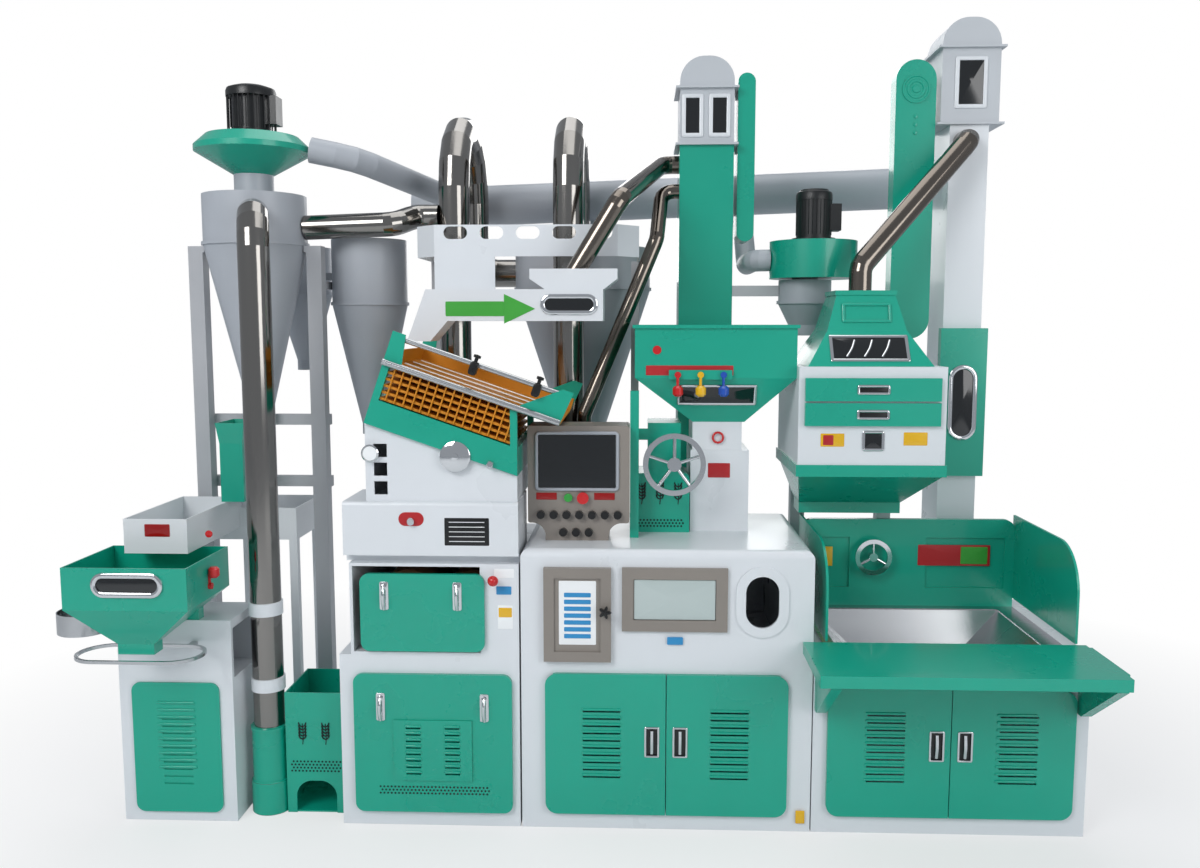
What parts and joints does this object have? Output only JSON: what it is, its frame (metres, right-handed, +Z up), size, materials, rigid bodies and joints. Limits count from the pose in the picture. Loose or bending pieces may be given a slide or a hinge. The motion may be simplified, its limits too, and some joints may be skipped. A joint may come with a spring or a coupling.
{
  "type": "rice huller",
  "caption": "Combined rice mill with huller, swinging separator, grader, bucket elevators, suction cyclones, ducts, hoppers, doors, drawers and a control panel on white and green cabinets.",
  "frame": {"origin": "centre of the mill cabinet's base, on the floor", "axes": "+X along the row of cabinets to the operator's right, +Y to the back, +Z up; the operator stands at -Y"},
  "size_m": [3.4219, 1.7273, 2.816],
  "materials": {
    "green_paint": "semi-gloss teal green paint",
    "white_paint": "semi-gloss cool white paint",
    "grey_paint": "satin grey paint",
    "taupe_steel": "satin taupe paint",
    "stainless": "polished stainless steel",
    "dark_steel": "dark painted iron",
    "deck_paint": "amber enamel",
    "black_plastic": "black plastic",
    "red_plastic": "red plastic",
    "yellow_plastic": "yellow plastic",
    "blue_plastic": "blue plastic",
    "green_plastic": "green plastic",
    "motor_paint": "black motor paint",
    "rubber_roll": "brown rubber on an iron core"
  },
  "bodies": {
    "machine": {"mill_cabinet": "white_paint", "mill_column": "white_paint", "mill_guard": "green_paint", "mill_hopper": "green_paint", "sight_windows": "grey_paint", "control_housing": "grey_paint", "control_screen": "black_plastic", "selector_knobs": "black_plastic", "huller_lower_cabinet": "white_paint", "huller_upper_cabinet": "white_paint", "huller_head_box": "white_paint", "separator_base": "white_paint", "feed_chute": "white_paint", "lattice_frame": "white_paint", "suction_pipes": "stainless", "grain_spouts": "stainless", "centre_elevator": "green_paint", "elevator_heads": "grey_paint", "belt_guards": "green_paint", "right_elevator": "white_paint", "grader_cabinet": "white_paint", "grader_hood": "green_paint", "grader_funnel": "green_paint", "intake_cabinet": "white_paint", "intake_hopper": "stainless", "intake_back": "green_paint", "shelf": "green_paint", "outlet_cabinet": "white_paint", "outlet_hopper": "green_paint", "bag_hoop": "stainless", "stone_tray": "stainless", "bran_bin": "green_paint", "cyclones": "grey_paint", "fan_housings": "green_paint", "fan_motors": "motor_paint", "dust_ducts": "grey_paint", "support_posts": "taupe_steel", "crusher": "green_paint"},
    "separator": {"separator_case": "green_paint", "separator_decks": "deck_paint", "separator_rail": "stainless"},
    "mill_door_left": {"mill_door_left": "green_paint"},
    "mill_door_right": {"mill_door_right": "green_paint"},
    "intake_door_left": {"intake_door_left": "green_paint"},
    "intake_door_right": {"intake_door_right": "green_paint"},
    "chart_door": {"chart_door": "stainless"},
    "huller_panel_upper": {"huller_panel_upper": "green_paint"},
    "huller_panel_lower": {"huller_panel_lower": "green_paint"},
    "mill_handwheel": {"mill_handwheel": "stainless"},
    "intake_handwheel": {"intake_handwheel": "dark_steel"},
    "drawer_upper": {"drawer_upper": "green_paint"},
    "drawer_lower": {"drawer_lower": "green_paint"},
    "lever_red": {"lever_red": "red_plastic"},
    "lever_yellow": {"lever_yellow": "yellow_plastic"},
    "lever_blue": {"lever_blue": "blue_plastic"},
    "outlet_lever": {"outlet_lever": "red_plastic"},
    "start_button": {"start_button": "green_plastic"},
    "stop_button": {"stop_button": "red_plastic"},
    "fixed_roll": {"fixed_roll": "rubber_roll"},
    "moving_roll": {"moving_roll": "rubber_roll"}
  },
  "joints": [
    {"name": "mill_door_left_hinge", "type": "hinge", "parent": "machine", "child": "mill_door_left", "pos_m": [-0.4, -0.3663, 0.296], "axis": [0, 0, -1], "range_deg": [0, 110]},
    {"name": "mill_door_right_hinge", "type": "hinge", "parent": "machine", "child": "mill_door_right", "pos_m": [0.4, -0.3663, 0.296], "axis": [0, 0, 1], "range_deg": [0, 100]},
    {"name": "intake_door_left_hinge", "type": "hinge", "parent": "machine", "child": "intake_door_left", "pos_m": [0.53, -0.3663, 0.28], "axis": [0, 0, -1], "range_deg": [0, 90]},
    {"name": "intake_door_right_hinge", "type": "hinge", "parent": "machine", "child": "intake_door_right", "pos_m": [1.332, -0.3663, 0.28], "axis": [0, 0, 1], "range_deg": [0, 90]},
    {"name": "chart_door_hinge", "type": "hinge", "parent": "machine", "child": "chart_door", "pos_m": [-0.403, -0.3703, 0.736], "axis": [0, 0, -1], "range_deg": [0, 100]},
    {"name": "huller_panel_upper_lift", "type": "slide", "parent": "machine", "child": "huller_panel_upper", "axis": [0, -1, 0], "range_m": [0, 0.12]},
    {"name": "huller_panel_lower_lift", "type": "slide", "parent": "machine", "child": "huller_panel_lower", "axis": [0, -1, 0], "range_m": [0, 0.12]},
    {"name": "mill_handwheel_spin", "type": "hinge", "parent": "machine", "child": "mill_handwheel", "pos_m": [0.028, -0.165, 1.208], "axis": [0, 1, 0], "continuous": true},
    {"name": "intake_handwheel_spin", "type": "hinge", "parent": "machine", "child": "intake_handwheel", "pos_m": [0.79, 0.19, 0.812], "axis": [0, 1, 0], "continuous": true},
    {"name": "drawer_upper_slide", "type": "slide", "parent": "machine", "child": "drawer_upper", "axis": [0, -1, 0], "range_m": [0, 0.3]},
    {"name": "drawer_lower_slide", "type": "slide", "parent": "machine", "child": "drawer_lower", "axis": [0, -1, 0], "range_m": [0, 0.3]},
    {"name": "lever_red_swing", "type": "hinge", "parent": "machine", "child": "lever_red", "pos_m": [0.039, -0.134, 1.511], "axis": [0, 1, 0], "range_deg": [-20, 20]},
    {"name": "lever_yellow_swing", "type": "hinge", "parent": "machine", "child": "lever_yellow", "pos_m": [0.117, -0.134, 1.511], "axis": [0, 1, 0], "range_deg": [-20, 20]},
    {"name": "lever_blue_swing", "type": "hinge", "parent": "machine", "child": "lever_blue", "pos_m": [0.195, -0.134, 1.511], "axis": [0, 1, 0], "range_deg": [-20, 20]},
    {"name": "outlet_lever_swing", "type": "hinge", "parent": "machine", "child": "outlet_lever", "pos_m": [-1.4997, -0.395, 0.83], "axis": [1, 0, 0], "range_deg": [-30, 30]},
    {"name": "start_press", "type": "slide", "parent": "machine", "child": "start_button", "axis": [0, 1, 0], "range_m": [0, 0.006], "stiffness_N_per_m": 800},
    {"name": "stop_press", "type": "slide", "parent": "machine", "child": "stop_button", "axis": [0, 1, 0], "range_m": [0, 0.006], "stiffness_N_per_m": 800},
    {"name": "fixed_roll_spin", "type": "hinge", "parent": "machine", "child": "fixed_roll", "pos_m": [-0.873, 0, 0.742], "axis": [0, 1, 0], "continuous": true},
    {"name": "moving_roll_spin", "type": "hinge", "parent": "machine", "child": "moving_roll", "pos_m": [-0.647, 0, 0.742], "axis": [0, 1, 0], "continuous": true},
    {"name": "separator_swing", "type": "slide", "parent": "machine", "child": "separator", "axis": [0.9455, 0, -0.3256], "range_m": [-0.005, 0.005], "stiffness_N_per_m": 500000}
  ],
  "couplings": [
    {"joint": "moving_roll_spin", "follows": "fixed_roll_spin", "ratio": -0.8}
  ]
}
